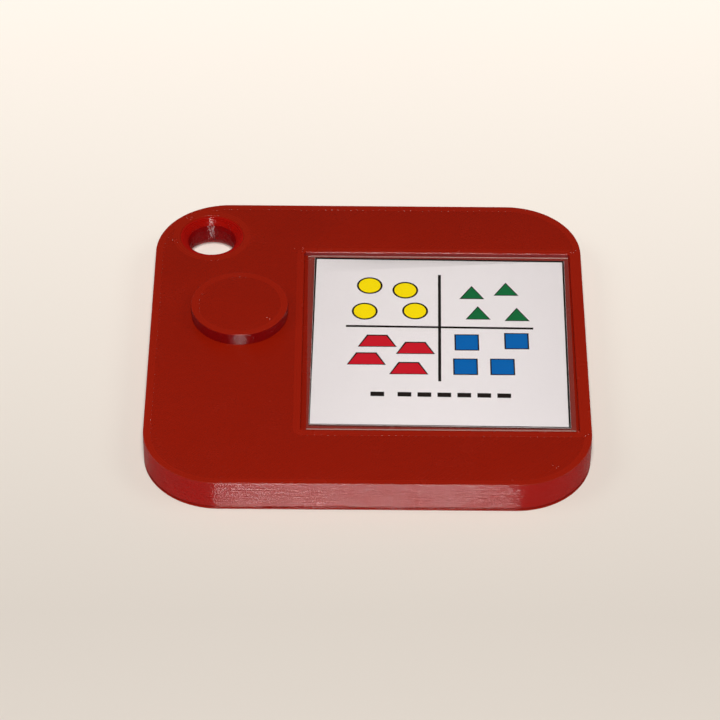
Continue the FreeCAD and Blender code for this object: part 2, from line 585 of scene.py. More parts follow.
def mark_tree(shape: MarkShape) -> bpy.types.NodeTree:
    """Prints one shape at each point: a coloured field with a dark line round it."""
    t = GeometryTree("mark_" + shape.value, {
        "Width": Kind.NUMBER, "Height": Kind.NUMBER, "Line": Kind.NUMBER, "Ink": Kind.NUMBER,
        "Field ink": Kind.MATERIAL, "Line ink": Kind.MATERIAL})
    outline, wide, high = unit_outline(t, shape)
    across = t.add("Math", {0: t["Width"], 1: wide}, operation="DIVIDE")
    along = t.add("Math", {0: t["Height"], 1: high}, operation="DIVIDE")
    stretch = t.add("CombineXYZ", {"X": across, "Y": along, "Z": 1.0})
    sized = t.add("Transform", {"Geometry": outline, "Scale": stretch})
    field = t.painted(t.add("FillCurve", {"Curve": sized}, mode="NGONS"), "Field ink")
    rim = t.add("CurvePrimitiveQuadrilateral", {"Width": t["Line"], "Height": t["Ink"]})
    dark = t.painted(t.swept(sized, rim, caps=False), "Line ink")
    both = t.add("JoinGeometry", {0: field})
    t.tree.links.new(dark.outputs[0], both.inputs[0])
    return t.done(t.copies(both))


# ---------------------------------------------------------------- finishes

@dataclass(frozen=True)
class Finish:
    """A named finish, in Object coordinates."""

    name: str

    def build(self) -> bpy.types.Material:
        """Makes the material."""
        material = bpy.data.materials.new(self.name)
        material.use_nodes = True
        material.node_tree.nodes.clear()
        add = partial(add_node, material.node_tree)
        add("OutputMaterial", {"Surface": self.shader(add, add("TexCoord").outputs["Object"])})
        return material

    def shader(self, add: Adder, place: Socket) -> Node:
        """Adds the finish's own nodes, and returns its shader."""
        raise NotImplementedError


def noise(add: Adder, place: Node | Socket, scale: float, detail: float, roughness: float) -> Node:
    """Adds a cloudy noise."""
    return add("TexNoise", {"Vector": place, "Scale": scale, "Detail": detail, "Roughness": roughness})


def mottled(add: Adder, share: Node | Socket, first: str, second: str) -> Socket:
    """Adds a colour that goes from one to another as its share grows."""
    return add("Mix", {0: share, 6: linear(first), 7: linear(second)}, data_type="RGBA").outputs[2]


@dataclass(frozen=True)
class PrintedPlastic(Finish):
    """Red PLA laid down in lines: deep saturated colour, a soft gloss along each line."""

    name: str = "printed_red_pla"
    colour: str = "#921805"
    patch_colour: str = "#8c1604"
    roughness: float = 0.24
    roughness_spread: float = 0.1
    ior: float = 1.46
    layer_mm: float = 0.3       # the wall's streaks, a little coarser than a layer so that they show
    streak_mm: float = 7.0      # length over which a layer's gloss changes
    patch_mm: float = 14.0      # size of the faint cloudy patches on the face
    grain_mm: float = 0.12      # fine unevenness of the melt
    grain_depth_mm: float = 0.002
    grain_stretch: float = 1.0  # how much longer than high the grain is

    def shader(self, add: Adder, place: Socket) -> Node:
        """Varies the colour in patches, the gloss in streaks and the relief in grain."""
        along, up, fine = (1 / (size * MM) for size in (self.streak_mm, self.layer_mm, self.grain_mm))
        drawn = fine / self.grain_stretch
        layers = add("Mapping", {"Vector": place, "Scale": (along, along, up)})
        grains = add("Mapping", {"Vector": place, "Scale": (drawn, drawn, fine)})
        swing = self.roughness_spread / 2
        gloss = add("MapRange", {
            "Value": noise(add, layers, 1.0, 2.0, 0.6), "From Min": 0.3, "From Max": 0.7,
            "To Min": self.roughness - swing, "To Max": self.roughness + swing})
        relief = add("Bump", {
            "Strength": 1.0, "Distance": self.grain_depth_mm * MM,
            "Height": noise(add, grains, 1.0, 2.0, 0.5)})
        patches = noise(add, place, 1 / (self.patch_mm * MM), 3.0, 0.55)
        return add("BsdfPrincipled", {
            "Base Color": mottled(add, patches, self.colour, self.patch_colour), "Roughness": gloss,
            "IOR": self.ior, "Normal": relief})


@dataclass(frozen=True)
class CardStock(Finish):
    """Smooth white copier card: bright, matt, with faint fibre clouds."""

    name: str = "white_card_stock"
    colour: str = "#f3eeef"
    shade: str = "#ece6e7"
    roughness: float = 0.6
    fibre_mm: float = 0.9

    def shader(self, add: Adder, place: Socket) -> Node:
        """Varies the colour and the relief with the fibres."""
        fibres = noise(add, place, 1 / (self.fibre_mm * MM), 4.0, 0.65)
        return add("BsdfPrincipled", {
            "Base Color": mottled(add, fibres, self.colour, self.shade),
            "Roughness": self.roughness, "Specular IOR Level": 0.0,
            "Normal": add("Bump", {"Strength": 0.3, "Distance": 0.01 * MM, "Height": fibres})})


@dataclass(frozen=True)
class PrintInk(Finish):
    """Toner on card: an even, slightly mottled colour, with no gloss but that of the film bonded to it."""

    colour: str
    second: str
    roughness: float = 0.45
    mottle_mm: float = 0.5

    def shader(self, add: Adder, place: Socket) -> Node:
        """Mottles the colour."""
        mottle = noise(add, place, 1 / (self.mottle_mm * MM), 3.0, 0.6)
        return add("BsdfPrincipled", {
            "Base Color": mottled(add, mottle, self.colour, self.second),
            "Roughness": self.roughness, "Specular IOR Level": 0.0})


@dataclass(frozen=True)
class LaminateFilm(Finish):
    """Clear polyester laminate: nearly invisible face on, with a sharp gloss and a faint milky haze."""

    name: str = "clear_laminate_film"
    haze_colour: str = "#f4eadc"
    haze: float = 0.002
    ior: float = 1.5
    roughness: float = 0.12

    def shader(self, add: Adder, place: Socket) -> Node:
        """Clear, with a share of white haze, and a mirror that grows as the film is seen on edge."""
        milk = add("BsdfDiffuse", {"Color": linear(self.haze_colour)})
        body = add("MixShader", {0: self.haze, 1: add("BsdfTransparent", {"Color": WHITE}), 2: milk})
        mirror = add("BsdfAnisotropic", {"Color": WHITE, "Roughness": self.roughness})
        # Only the outer face mirrors: light that leaves the film's inner face goes straight on.
        inner = add("NewGeometry").outputs["Backfacing"]
        outer = add("Math", {0: 1.0, 1: inner}, operation="SUBTRACT")
        shine = add("Math", {0: add("Fresnel", {"IOR": self.ior}), 1: outer}, operation="MULTIPLY")
        return add("MixShader", {0: shine, 1: body, 2: mirror})


@dataclass(frozen=True)
class FilmCutEdge(Finish):
    """The film's cut edge: frosted by the trimmer's blade, so it scatters light and shows as a pale line."""

    name: str = "laminate_cut_edge"
    colour: str = "#f4dcd2"
    roughness: float = 0.55
    clearness: float = 0.36

    def shader(self, add: Adder, place: Socket) -> Node:
        """A pale scatter with a share of clear film."""
        frost = add("BsdfPrincipled", {"Base Color": linear(self.colour), "Roughness": self.roughness})
        return add("MixShader", {0: self.clearness, 1: frost, 2: add("BsdfTransparent", {"Color": WHITE})})


@dataclass(frozen=True)
class AdhesiveTape(Finish):
    """Double-sided tissue tape: off-white and tacky, with a satin sheen over long fibres."""

    name: str = "double_sided_tape"
    colour: str = "#e6e0d0"
    second: str = "#d8d0bc"
    roughness: float = 0.38
    fibre_mm: float = 2.2

    def shader(self, add: Adder, place: Socket) -> Node:
        """Varies the colour and the relief with fibres that run lengthwise."""
        along = 1 / (self.fibre_mm * MM)
        lengthwise = add("Mapping", {
            "Vector": place, "Scale": (3 * along, along, 1.0)})
        fibres = noise(add, lengthwise, 1.0, 6.0, 0.7)
        return add("BsdfPrincipled", {
            "Base Color": mottled(add, fibres, self.colour, self.second), "Roughness": self.roughness,
            "Normal": add("Bump", {"Strength": 0.6, "Distance": 0.03 * MM, "Height": fibres})})


@dataclass(frozen=True)
class PaperFloor(Finish):
    """A sheet of warm white background paper, matt, with painted light that brightens its far part."""

    name: str = "background_paper"
    colour: str = "#dcd5cc"
    in_gloss: str = "#a8a29b"   # painted shade: its darker colour as a glossy face sees it
    roughness: float = 0.9
    painted_glow: float = 0.66          # painted light: how bright the paper is made towards the back
    painted_glow_from: float = -0.07    # metres along Y, where the glow starts
    painted_glow_to: float = 0.135

    def shader(self, add: Adder, place: Socket) -> Node:
        """Paints light onto the paper towards the back, and paints shade onto it where a gloss sees it."""
        depth = add("SeparateXYZ", {0: place}).outputs["Y"]
        painted_glow = add("MapRange", {
            "Value": depth, "From Min": self.painted_glow_from, "From Max": self.painted_glow_to,
            "To Min": 0.0, "To Max": self.painted_glow})
        # This stands in for flags round the table, which keep white out of the red plastic's gloss.
        in_gloss = add("LightPath").outputs["Is Glossy Ray"]
        seen = mottled(add, in_gloss, self.colour, self.in_gloss)
        return add("BsdfPrincipled", {
            "Base Color": seen, "Roughness": self.roughness, "Specular IOR Level": 0.2,
            "Emission Color": seen, "Emission Strength": painted_glow})


# ---------------------------------------------------------------- printing

@dataclass(frozen=True)
class PrintSettings:
    """How the plastic was laid down, in millimetres."""

    layer: float = 0.2
    line: float = 0.46          # distance between neighbouring lines
    overlap: float = 0.08       # how much wider than that a line is
    walls: int = 3              # lines round every outline before the fill starts
    fill_angle: float = 45.0
    fill_step: float = 0.046    # from the middle of the last line to the fill's turns, which end under it
    wall_rounding: float = 0.115
    skin_rounding: float = 0.056
    hop: float = 0.004          # how far neighbouring outlines' lines differ in height
    hop_cycle: int = 3          # after how many lines the heights come round again
    fill_hops: float = 2.5      # how many hops the fill lies under the highest of them
    wander: float = 0.018       # how far a wall's line strays
    wander_length: float = 4.0  # and over what length
    edge_roll: float = 0.05     # how far the face's rim stands back from the walls
    foot: float = 0.26          # how far the lowest layers stand back
    foot_layers: int = 4
    turn: float = 0.2           # radius of the fill's turns
    sink: float = 0.06          # how far the solid core lies under the lines of a face
    wall_sink: float = 0.09     # and behind the lines of a wall

    def line_sizes(self, height: float, rounding: float, material: bpy.types.Material) -> dict[str, object]:
        """The tree inputs that every extruded line takes, in metres."""
        return {
            "Line width": (self.line + self.overlap) * MM,
            "Line height": height * MM,
            "Line rounding": rounding * MM,
            "Material": material,
        }

    def wall_offsets(self) -> list[float]:
        """How far each wall line's middle lies inside the outline."""
        first = self.edge_roll + (self.line + self.overlap) / 2
        return [first + k * self.line for k in range(self.walls)]

    def bulge_inset(self) -> float:
        """How far inside the outline a wall's bulging lines have their middle."""
        return self.wall_rounding + 1.5 * self.wander

    def fill_inset(self) -> float:
        """How far inside the outline the fill's turns lie."""
        return self.wall_offsets()[-1] + self.fill_step


class PrintShop:
    """Holds the print settings, the plastics and the trees, and lays lines with them."""

    sharp: float = 70.0         # degrees: a line's rounded corners stay smooth, its caps don't
    tall: float = 1.2           # layers that a wall's line is high, so that it reaches into the next
    chords: int = 72            # of a ring
    flatness: float = 0.6       # of a drop
    drop_sharp: float = 80.0

    def __init__(self, settings: PrintSettings) -> None:
        """Builds the plastics and the trees once, for every piece to share.

        Args:
            settings: how the plastic is laid down.
        """
        self.settings = settings
        self.plastic = PrintedPlastic().build()
        # Painted light: the lines along an edge get a lighter red, for the light that comes through the
        # plastic there.
        self.rim = PrintedPlastic("printed_red_pla_rim_painted_light", "#991b07", "#931906").build()
        # Painted light: a wall's lines get a brighter red than the face, standing for more light on the
        # walls, with a sharper gloss that breaks up in specks.
        self.side = PrintedPlastic(
            "printed_red_pla_wall_painted_light", "#a60b03", "#9a0802", roughness=0.16, roughness_spread=0.06,
            ior=1.5, grain_mm=0.25, grain_depth_mm=0.065, grain_stretch=9.0).build()
        # Painted shade: walls that only the red face lights get a darker red, as the button's side and the
        # hole look.
        self.deep = PrintedPlastic(
            "printed_red_pla_painted_shade", "#840305", "#760204", roughness=0.12, roughness_spread=0.04,
            grain_mm=0.3, grain_depth_mm=0.045).build()
        # Painted shade: the recess wall's darker, duller red stands for the shade under the face's lip.
        self.shade = PrintedPlastic("printed_red_pla_recess_painted_shade", "#8a0c08", "#7c0906", roughness=0.6).build()
        self.stack_tree = layer_stack_tree()
        self.skin_tree = skin_tree()
        self.ring_tree = ring_tree()
        self.blob_tree = blob_tree()

    def layers(
            self, name: str, path: Loop, low: float, high: float, seed: int,
            plastic: bpy.types.Material) -> bpy.types.Object:
        """Builds up a wall of lines along one closed path.

        Args:
            name: the piece's name.
            path: the middle of the line, closed.
            low: height of the wall's foot.
            high: height of its top.
            seed: picks how the layers stray.
            plastic: the material.

        Returns:
            The wall, as a closed strand for each layer.
        """
        s = self.settings
        points = [(x, y, low + s.layer / 2) for x, y in path]
        edges = [(k, (k + 1) % len(points)) for k in range(len(points))]
        values = {
            "Layers": round((high - low) / s.layer), "Layer height": s.layer * MM,
            "Wander": s.wander * MM, "Wander length": s.wander_length * MM, "Seed": seed,
        }
        sizes = s.line_sizes(s.layer * self.tall, s.wall_rounding, plastic)
        return grown(new_piece(name, points, [], edges), self.stack_tree, values | sizes, self.sharp)

    def skin(
            self, name: str, loops: list[Loop], paths: list[Loop], face: float, down: bool = False,
            rim: bool = False) -> bpy.types.Object:
        """Lays a skin of closed loops and open fill paths whose face is at one height.

        Args:
            name: the piece's name.
            loops: closed paths.
            paths: open paths.
            face: height of the face.
            down: True if the face looks down.
            rim: True for lines along an edge, which take the lighter red with painted light.

        Returns:
            The skin, as closed strands.
        """
        s = self.settings
        away = 1 if down else -1
        points: list[Spot] = []
        edges: list[tuple[int, int]] = []
        for number, path in enumerate(loops + paths):
            closed = number < len(loops)
            start = len(points)
            # Lines of different outlines may cross, so they don't lie at quite the same height.
            hops = number % s.hop_cycle if closed else s.fill_hops
            level = face + away * s.layer / 2 + away * s.hop * hops
            points += [(x, y, level) for x, y in path]
            edges += [(start + k, start + k + 1) for k in range(len(path) - 1)]
            if closed:
                edges.append((len(points) - 1, start))
        sizes = s.line_sizes(s.layer, s.skin_rounding, self.rim if rim else self.plastic)
        values = {"Turn radius": s.turn * MM} | sizes
        return grown(new_piece(name, points, [], edges), self.skin_tree, values, self.sharp)

    def rings(
            self, name: str, centre: Point, places: list[tuple[float, float]],
            plastic: bpy.types.Material) -> bpy.types.Object:
        """Lays round lines about one axis.

        Args:
            name: the piece's name.
            centre: where the axis stands.
            places: the radius and height of each line's middle.
            plastic: the material.

        Returns:
            The rings, as closed strands.
        """
        s = self.settings
        piece = new_piece(name, [(centre[0], centre[1], z) for _, z in places], [])
        size = piece.data.attributes.new("ring_size", "FLOAT", "POINT")
        size.data.foreach_set("value", [r * MM for r, _ in places])
        sizes = s.line_sizes(s.layer * self.tall, s.wall_rounding, plastic)
        return grown(piece, self.ring_tree, {"Chords": self.chords} | sizes, self.sharp)

    def blobs(self, name: str, places: list[Spot], size: float, seed: int) -> bpy.types.Object:
        """Leaves small drops of plastic where the nozzle started or stopped.

        Args:
            name: the piece's name.
            places: where the drops are, in millimetres.
            size: their usual radius.
            seed: picks their sizes.

        Returns:
            The drops, as one piece.
        """
        values = {"Blob size": size * MM, "Flatness": self.flatness, "Seed": seed, "Material": self.rim}
        return grown(new_piece(name, places, []), self.blob_tree, values, self.drop_sharp)


def settle(piece: bpy.types.Object, body: str, slot: str, *nodes: str) -> None:
    """Hangs a finished piece on its body, and hides the frame nodes that it stands for.

    Args:
        piece: the finished piece.
        body: the frame body that it moves with.
        slot: the record's material slot; not used.
        nodes: the frame nodes that it stands for.
    """
    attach(piece, body)
    if nodes:
        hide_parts(*nodes)
    LOG.info("%s: %d faces on %s", piece.name, len(piece.data.polygons), body)


@dataclass
class BadgePlate:
    """The printed plate: outer wall, hanging hole, card recess, face and bed side."""

    shop: PrintShop
    node: str = "base_plate"
    slot: str = "plate_plastic"
    recess_radius: float = 0.5  # of the recess's upright corners
    tightest: float = 0.05      # radius that a line can turn on
    corner_chords: int = 20
    recess_chords: int = 5
    rim_chords: int = 72        # of the lines round the hole
    void_chords: int = 48       # of the space that the fill and the core leave for it
    longest_chord: float = 3.0

    def __post_init__(self) -> None:
        """Reads the plate's sizes from the frame."""
        low, high = mm_box(self.node)
        self.width = high.x - low.x
        self.depth = high.y - low.y
        self.top = high.z
        self.radius = corner_radius(self.node)
        self.floor = mm_box("tape_strip_left")[0].z
        recess_low, recess_high = level_box(self.node, self.floor)
        self.recess_centre = ((recess_low[0] + recess_high[0]) / 2, (recess_low[1] + recess_high[1]) / 2)
        self.recess_width = recess_high[0] - recess_low[0]
        self.recess_depth = recess_high[1] - recess_low[1]
        hole = next(m for m in frame["record"]["mounts"] if m["name"] == "hanging_hole")
        self.hole = (hole["pos_m"][0] / MM, hole["pos_m"][1] / MM)
        self.hole_radius = hole["dims"]["r_mm"]
        self.hole_rounding = (self.top - hole["dims"]["length_mm"]) / 2
        layer = self.shop.settings.layer
        heights = [(k + 0.5) * layer for k in range(round(self.top / layer))]
        self.printed_hole = [(z, self.hole_width(z)) for z in heights]
        self.mouth = self.printed_hole[-1][1]

    def outline(self, inset: float) -> Loop:
        """The plate's outline, moved inwards."""
        return rounded_rectangle(
            (0.0, 0.0), self.width - 2 * inset, self.depth - 2 * inset,
            self.radius - inset, self.corner_chords)

    def recess(self, outset: float) -> Loop:
        """The recess's outline, moved outwards into the plate."""
        return rounded_rectangle(
            self.recess_centre, self.recess_width + 2 * outset, self.recess_depth + 2 * outset,
            max(self.tightest, self.recess_radius + outset), self.recess_chords)

    def hole_width(self, height: float) -> float:
        """The hole's radius at a height, through its quarter-round mouths."""
        r = self.hole_rounding
        away = max(0.0, abs(height - self.top / 2) - (self.top / 2 - r))
        return self.hole_radius + r - math.sqrt(max(0.0, r * r - away * away))

    def core(self) -> bpy.types.Object:
        """The solid inside of the plate, just under its printed lines."""
        s = self.shop.settings
        shell = Shell()
        top = self.top - s.sink
        foot = s.foot_layers * s.layer
        drawn_in = self.outline(s.wall_sink + s.foot)
        full = self.outline(s.wall_sink)
        outer = [
            shell.ring(loop, z)
            for loop, z in ((drawn_in, s.sink), (drawn_in, foot), (full, foot + s.layer), (full, top))
        ]
        shell.wall(outer)
        hole = []
        for z in [s.sink] + [z for z, _ in self.printed_hole[1:-1]] + [top]:
            inside = min(max(z, s.layer / 2), self.top - s.layer / 2)
            behind = self.hole_width(inside) + 3 * s.sink
            hole.append(shell.ring(circle(self.hole, behind, self.void_chords), z))
        shell.wall(hole)
        recess = [shell.ring(self.recess(s.wall_sink), z) for z in (top, self.floor - s.sink)]
        shell.wall(recess[::-1])
        shell.cap([outer[0], hole[0]])
        shell.cap([outer[-1], hole[-1], recess[0]])
        shell.cap([recess[1]])
        return shell.piece("plate_core", self.shop.plastic)

    def outer_walls(self) -> list[bpy.types.Object]:
        """The outer wall, and its lowest layers drawn in a little, as the print bed leaves them."""
        s = self.shop.settings
        wall, foot = (
            divided(self.outline(s.bulge_inset() + inset), self.longest_chord) for inset in (0.0, s.foot))
        low = s.foot_layers * s.layer
        return [
            self.shop.layers(
                "plate_wall_layers", wall, low, self.top - s.layer, seed=11, plastic=self.shop.side),
            self.shop.layers("plate_foot_layers", foot, 0.0, low, seed=13, plastic=self.shop.side),
        ]

    def recess_walls(self) -> list[bpy.types.Object]:
        """The wall round the recess, in the shade of its lip, and the lip, whose line catches the light."""
        s = self.shop.settings
        path = divided(self.recess(s.bulge_inset()), self.longest_chord)[::-1]
        lip = self.top - 2 * s.layer
        return [
            self.shop.layers("recess_wall_layers", path, self.floor, lip, seed=12, plastic=self.shop.shade),
            self.shop.layers("recess_lip_layers", path, lip, lip + s.layer, seed=14, plastic=self.shop.side),
        ]

    def face_rims(self) -> bpy.types.Object:
        """The face's lines round the plate's edge, the recess and the hole."""
        loops = []
        for offset in self.shop.settings.wall_offsets():
            hole = circle(self.hole, self.mouth + offset, self.rim_chords)
            loops += [self.outline(offset), self.recess(offset), hole]
        return self.shop.skin("plate_face_rims", loops, [], self.top, rim=True)

    def face_fill(self) -> bpy.types.Object:
        """The slanting lines that fill the face between its rims."""
        s = self.shop.settings
        inset = s.fill_inset()
        voids = [self.recess(inset), circle(self.hole, self.mouth + inset, self.void_chords)]
        fill = zigzag(self.outline(inset), voids, s.line, s.fill_angle)
        return self.shop.skin("plate_face_fill", [], fill, self.top)

    def bed_side(self) -> bpy.types.Object:
        """The underside, as it lay on the print bed."""
        s = self.shop.settings
        loops = []
        for offset in s.wall_offsets():
            loops += [self.outline(offset), circle(self.hole, self.mouth + offset, self.rim_chords)]
        inset = s.fill_inset()
        hole = circle(self.hole, self.mouth + inset, self.void_chords)
        fill = zigzag(self.outline(inset), [hole], s.line, -s.fill_angle)
        return self.shop.skin("plate_bed_lines", loops, fill, 0.0, down=True)

    def recess_floor(self) -> bpy.types.Object:
        """The recess floor's own lines, under the tape and the card."""
        s = self.shop.settings
        loops = [self.recess(-offset) for offset in s.wall_offsets()]
        fill = zigzag(self.recess(-s.fill_inset()), [], s.line, -s.fill_angle)
        return self.shop.skin("recess_floor_lines", loops, fill, self.floor)

    def hole_layers(self) -> list[bpy.types.Object]:
        """The hole, a ring for each layer, so that its rounded mouths come out as small terraces.

        Returns:
            The mouths and the straight bore.
        """
        s = self.shop.settings
        straight = 0.3          # a layer that is no wider than this still counts as bore
        chance = random.Random(8)
        mouths: list[tuple[float, float]] = []
        bore: list[tuple[float, float]] = []
        layers = self.printed_hole
        # The outermost layers are the face's and the bed side's own rims.
        for k, (z, radius) in enumerate(layers[1:-1], start=1):
            widest = max(layers[k - 1][1], layers[k + 1][1])
            lines = 1 + math.ceil(max(0.0, widest - radius) / s.line)
            stray = chance.uniform(-s.wander, s.wander)
            places = mouths if radius > self.hole_radius + straight else bore
            places += [(radius + stray + (n + 0.5) * s.line, z) for n in range(lines)]
        # The mouths take the wall's red with painted light, and the bore the darker red with painted shade.
        return [
            self.shop.rings("hole_mouth_layers", self.hole, mouths, self.shop.side),
            self.shop.rings("hole_bore_layers", self.hole, bore, self.shop.deep),
        ]

    def drops(self) -> bpy.types.Object:
        """Small starts and stops of the nozzle: by the hole, the recess's corners and the front."""
        rx, ry = self.recess_centre
        half_x, half_y = self.recess_width / 2, self.recess_depth / 2
        hx, hy = self.hole
        beside_hole = self.mouth + 1.0
        turn = math.radians(128)
        places = [
            (hx + beside_hole * math.cos(turn), hy + beside_hole * math.sin(turn)),
            (hx - self.mouth - 1.1, hy - 1.4),
            (rx + half_x + 0.9, ry - half_y - 0.8),
            (rx + half_x + 0.7, ry + half_y + 0.6),
            (rx - half_x - 0.8, ry + half_y + 0.9),
            (self.width / 2 - 7.5, -self.depth / 2 + 5.2),
        ]
        specks, spread, radius = 4, 0.4, 0.36
        chance = random.Random(17)
        spots = [
            (x + chance.gauss(0.0, spread), y + chance.gauss(0.0, spread), self.top)
            for x, y in places for _ in range(specks)]
        return self.shop.blobs("plate_nozzle_marks", spots, radius, seed=5)

    def build(self) -> None:
        """Builds every part of the plate and hangs it on its body."""
        pieces = [
            self.core(), *self.outer_walls(), self.face_rims(), self.face_fill(), self.bed_side(),
            *self.recess_walls(), self.recess_floor(), *self.hole_layers(), self.drops(),
        ]
        for piece in pieces:
            settle(piece, PLATE_BODY, self.slot, self.node)


@dataclass
class RaisedButton:
    """The round button on the plate's face, printed like the plate."""

    shop: PrintShop
    node: str = "button_disc"
    slot: str = "button_plastic"
    chords: int = 96
    fill_chords: int = 64       # of the outline that the fill keeps to

    def __post_init__(self) -> None:
        """Reads the button's sizes from the frame."""
        low, high = mm_box(self.node)
        self.centre = ((low.x + high.x) / 2, (low.y + high.y) / 2)
        self.radius = (high.x - low.x) / 2
        self.foot = low.z
        self.top = high.z

    def outline(self, inset: float) -> Loop:
        """The button's outline, moved inwards."""
        return circle(self.centre, self.radius - inset, self.chords)

    def core(self) -> bpy.types.Object:
        """The solid inside of the button."""
        s = self.shop.settings
        shell = Shell()
        shell.block([(self.outline(s.wall_sink), z) for z in (self.foot, self.top - s.sink)])
        return shell.piece("button_core", self.shop.plastic)

    def wall(self) -> bpy.types.Object:
        """The button's side, layer on layer."""
        s = self.shop.settings
        # Painted shade: the side takes the darker red.
        return self.shop.layers(
            "button_wall_layers", self.outline(s.bulge_inset()), self.foot, self.top - s.layer, seed=21,
            plastic=self.shop.deep)

    def face_rims(self) -> bpy.types.Object:
        """The lines round the edge of the button's top."""
        loops = [self.outline(offset) for offset in self.shop.settings.wall_offsets()]
        return self.shop.skin("button_face_rims", loops, [], self.top, rim=True)

    def face_fill(self) -> bpy.types.Object:
        """The slanting lines that fill the button's top."""
        s = self.shop.settings
        area = circle(self.centre, self.radius - s.fill_inset(), self.fill_chords)
        fill = zigzag(area, [], s.line, s.fill_angle)
        return self.shop.skin("button_face_fill", [], fill, self.top)

    def drops(self) -> bpy.types.Object:
        """The nozzle's two marks on the button's top, one behind the other."""
        x, y = self.centre
        turn = math.radians(-37)
        reaches = (self.radius - 2.0, self.radius - 2.7)
        places = [(x + r * math.cos(turn), y + r * math.sin(turn), self.top) for r in reaches]
        return self.shop.blobs("button_nozzle_marks", places, 0.42, seed=6)

    def build(self) -> None:
        """Builds the button and hangs it on the plate's body."""
        for piece in (self.core(), self.wall(), self.face_rims(), self.face_fill(), self.drops()):
            settle(piece, PLATE_BODY, self.slot, self.node)


@dataclass
class TapeStrips:
    """The two strips of double-sided tape on the recess floor."""

    material: bpy.types.Material
    tooth: float = 1.4          # pitch of the cutter's teeth along a cut end
    tooth_depth: float = 0.5
    rows: int = 40
    wave: float = 0.02          # how far the face rises and falls
    clear_below: float = 0.005  # air under the strip
    clear_above: float = 0.03   # and over its middle height

    def strip(self, node: str, seed: int) -> bpy.types.Object:
        """One strip, its ends cut by a toothed blade and its face a little wavy.

        Args:
            node: the frame node that it stands for.
            seed: picks its waves.

        Returns:
            The strip, closed.
        """
        low, high = mm_box(node)
        columns = round((high.x - low.x) / (self.tooth / 2))
        phase = random.Random(seed).uniform(0, math.tau)
        points = []
        for side in (0, 1):
            for j in range(self.rows + 1):
                for i in range(columns + 1):
                    x = low.x + (high.x - low.x) * i / columns
                    bite = self.tooth_depth * (i % 2) * (j in (0, self.rows))
                    y = low.y + (high.y - low.y) * j / self.rows + (bite if j == 0 else -bite)
                    wave = self.wave * math.sin(y / 3.1 + phase) * math.sin(x / 2.3 + phase)
                    top = high.z - self.clear_above + wave
                    points.append((x, y, top if side else low.z + self.clear_below))
        sides, cut = sheet_faces(columns + 1, self.rows + 1)
        piece = tidied(new_piece(node + "_cut", points, sides + cut))
        piece.data.materials.append(self.material)
        return piece

    def build(self) -> None:
        """Builds both strips; they stay in the recess when the card is lifted."""
        for seed, node in enumerate(("tape_strip_left", "tape_strip_right")):
            settle(self.strip(node, seed), PLATE_BODY, "tape", node)


# ---------------------------------------------------------------- card

@dataclass(frozen=True)
class MarkField:
    """One quarter of the picture: four shapes of one kind and colour."""

    shape: MarkShape
    ink: PrintInk
    slot: str
    width: float
    height: float
    places: tuple[Point, ...]


def bar(centre: Point, width: float, height: float) -> Loop:
    """A printed bar's outline."""
    x, y = centre
    return [
        (x - width / 2, y - height / 2), (x + width / 2, y - height / 2),
        (x + width / 2, y + height / 2), (x - width / 2, y + height / 2),
    ]


def caption_bars() -> list[Loop]:
    """A row of even dashes where a caption would stand, with a wider gap after the first."""
    count, width, height, pitch, gap = 7, 2.7, 1.3, 3.9, 1.4
    first_x, level = -12.2, -16.2
    return [bar((first_x + pitch * k + (gap if k else 0.0), level), width, height) for k in range(count)]


# The picture: a chart in four quarters, laid out from the card's middle.
CROSS = [bar((0.0, 4.0), 0.6, 32.5), bar((0.0, 4.0), 37.4, 0.6)]
PICTURE = (
    MarkField(
        MarkShape.DISC, PrintInk("yellow_toner", "#ffe800", "#fade00"), "ink_yellow", 5.2, 5.2,
        ((-14.1, 16.6), (-6.9, 15.3), (-15.0, 8.6), (-4.9, 8.9))),
    MarkField(
        MarkShape.TRIANGLE, PrintInk("green_toner", "#14723f", "#106838"), "ink_green", 5.1, 4.2,
        ((6.5, 14.2), (13.4, 15.4), (7.7, 7.9), (15.5, 7.6))),
    MarkField(
        MarkShape.TRAPEZIUM, PrintInk("red_toner", "#d0182a", "#c61426"), "ink_red", 7.8, 3.8,
        ((-12.4, -0.4), (-4.8, -2.4), (-14.5, -5.8), (-6.1, -8.5))),
    MarkField(
        MarkShape.SQUARE, PrintInk("blue_toner", "#0068b6", "#0060ac"), "ink_blue", 5.0, 5.0,
        ((5.4, -0.5), (15.3, 0.1), (5.1, -7.8), (12.4, -7.7))),
)


